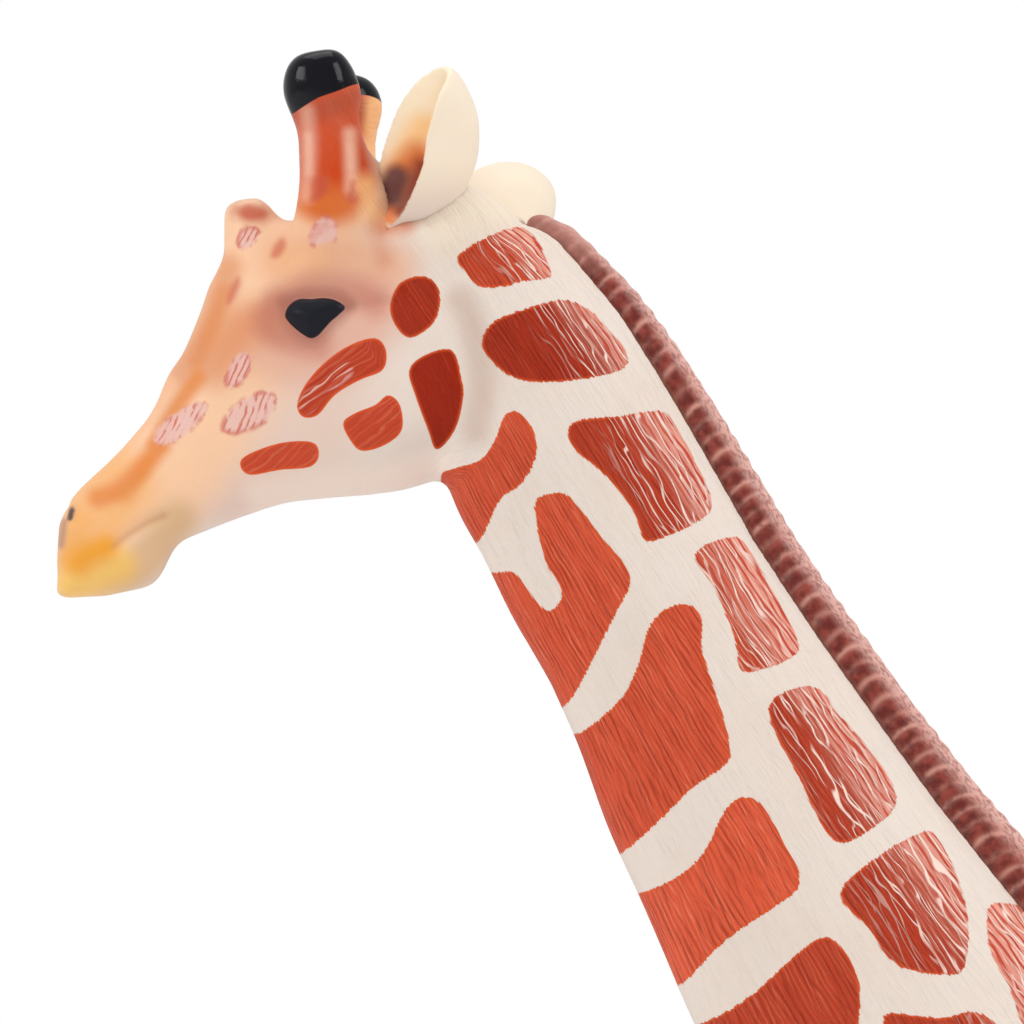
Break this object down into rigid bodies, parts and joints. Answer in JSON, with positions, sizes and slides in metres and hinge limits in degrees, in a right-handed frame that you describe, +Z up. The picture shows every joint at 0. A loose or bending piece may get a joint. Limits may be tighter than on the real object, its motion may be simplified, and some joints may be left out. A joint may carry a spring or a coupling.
{
  "type": "toy giraffe figure",
  "caption": "Standing toy giraffe in moulded plastic with painted patches, horns, cupped ears and a ridged mane; stands free on its hooves.",
  "frame": {"origin": "on the floor plane under the soles, at the middle of the figure's box seen from above", "axes": "+Z up from the hooves to the horns; the head looks along -X; the animal's left side is -Y"},
  "size_m": [0.1214, 0.032, 0.1798],
  "materials": {
    "body_plastic": "satin ivory plastic, spray-painted with red-brown patches",
    "mane_plastic": "matte brown"
  },
  "bodies": {
    "root": {"torso": "body_plastic", "neck_and_head": "body_plastic", "left_ear": "body_plastic", "right_ear": "body_plastic", "mane_strip": "mane_plastic", "front_left_leg": "body_plastic", "front_right_leg": "body_plastic", "rear_left_leg": "body_plastic", "rear_right_leg": "body_plastic", "tail": "body_plastic"}
  },
  "joints": []
}
